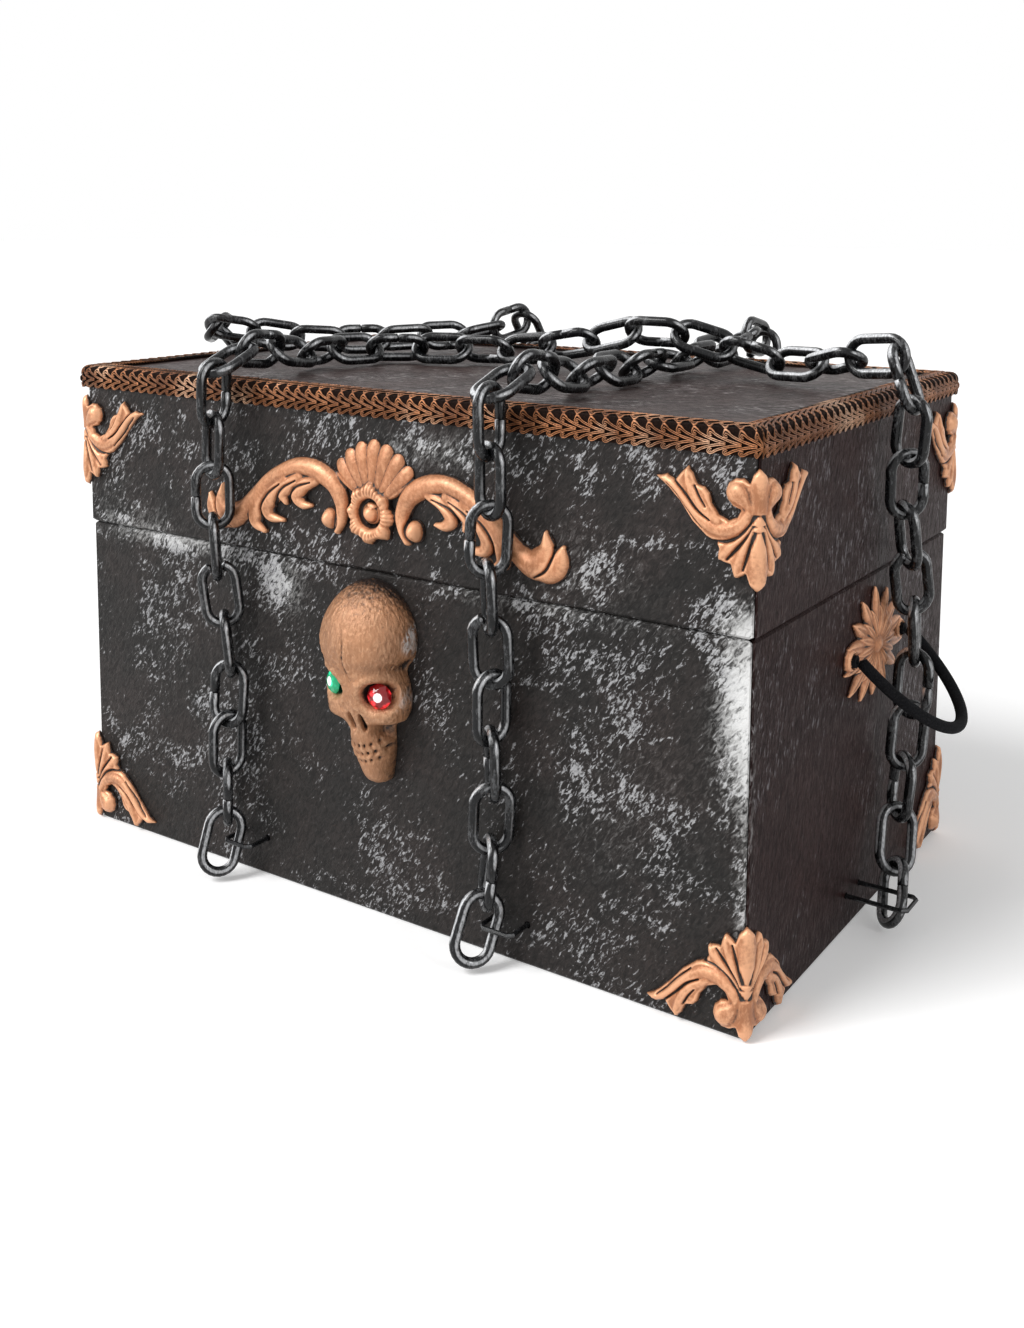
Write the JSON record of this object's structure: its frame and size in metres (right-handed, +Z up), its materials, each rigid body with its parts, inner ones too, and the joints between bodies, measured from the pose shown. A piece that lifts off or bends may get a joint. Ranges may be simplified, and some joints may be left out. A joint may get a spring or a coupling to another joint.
{
  "type": "treasure chest",
  "caption": "Flat-topped treasure chest with a hinged lid, copper relief ornaments, a gem-eyed skull, braid, rope side handles and draped chains.",
  "frame": {"origin": "centre of the base's underside", "axes": "+X to the chest's right as seen from the front, along its width; +Y to the back, where the hinges are; +Z up"},
  "size_m": [0.5146, 0.3221, 0.3047],
  "materials": {
    "aged_paint": "textured dark brown paint, dry-brushed with silver grey",
    "copper_paint": "cast resin in copper paint with a dark wash in the recesses",
    "copper_braid": "woven trimming braid in copper paint",
    "black_chain": "near-black plastic links with silver rubs",
    "hinge_steel": "aged steel",
    "black_rope": "matte black cord",
    "green_gem": "faceted green glass",
    "red_gem": "faceted red glass"
  },
  "bodies": {
    "base": {"base_back": "aged_paint", "base_bottom": "aged_paint", "base_front": "aged_paint", "base_left": "aged_paint", "base_right": "aged_paint", "chain_front_left_lower": "black_chain", "chain_front_right_lower": "black_chain", "chain_left_lower": "black_chain", "chain_right_lower": "black_chain", "corner_lower_back_left": "copper_paint", "corner_lower_back_right": "copper_paint", "corner_lower_front_left": "copper_paint", "corner_lower_front_right": "copper_paint", "gem_green": "green_gem", "gem_red": "red_gem", "hinge_left_base_leaf": "hinge_steel", "hinge_left_pin": "hinge_steel", "hinge_right_base_leaf": "hinge_steel", "hinge_right_pin": "hinge_steel", "rope_knot_left_back": "black_rope", "rope_knot_left_front": "black_rope", "rope_knot_right_back": "black_rope", "rope_knot_right_front": "black_rope", "side_ornament_left": "copper_paint", "side_ornament_right": "copper_paint", "skull": "copper_paint", "staple_front_left": "black_chain", "staple_front_right": "black_chain", "staple_left": "black_chain", "staple_right": "black_chain"},
    "lid": {"braid_trim": "copper_braid", "chain_front_to_back": "black_chain", "chain_front_to_right": "black_chain", "chain_left_to_back": "black_chain", "corner_upper_back_left": "copper_paint", "corner_upper_back_right": "copper_paint", "corner_upper_front_left": "copper_paint", "corner_upper_front_right": "copper_paint", "hinge_left_lid_leaf": "hinge_steel", "hinge_right_lid_leaf": "hinge_steel", "lid_back": "aged_paint", "lid_front": "aged_paint", "lid_left": "aged_paint", "lid_right": "aged_paint", "lid_top": "aged_paint", "scroll_ornament": "copper_paint", "staple_back_left": "black_chain", "staple_back_right": "black_chain"},
    "handle_right": {"rope_handle_right": "black_rope"},
    "handle_left": {"rope_handle_left": "black_rope"}
  },
  "joints": [
    {"name": "lid_hinge", "type": "hinge", "parent": "base", "child": "lid", "pos_m": [0, 0.136, 0.1805], "axis": [-1, 0, 0], "range_deg": [0, 100]},
    {"name": "handle_right_swing", "type": "hinge", "parent": "base", "child": "handle_right", "pos_m": [0.21645, 0.016, 0.143], "axis": [0, -1, 0], "range_deg": [0, 80]},
    {"name": "handle_left_swing", "type": "hinge", "parent": "base", "child": "handle_left", "pos_m": [-0.21645, 0.016, 0.143], "axis": [0, 1, 0], "range_deg": [0, 80]}
  ]
}
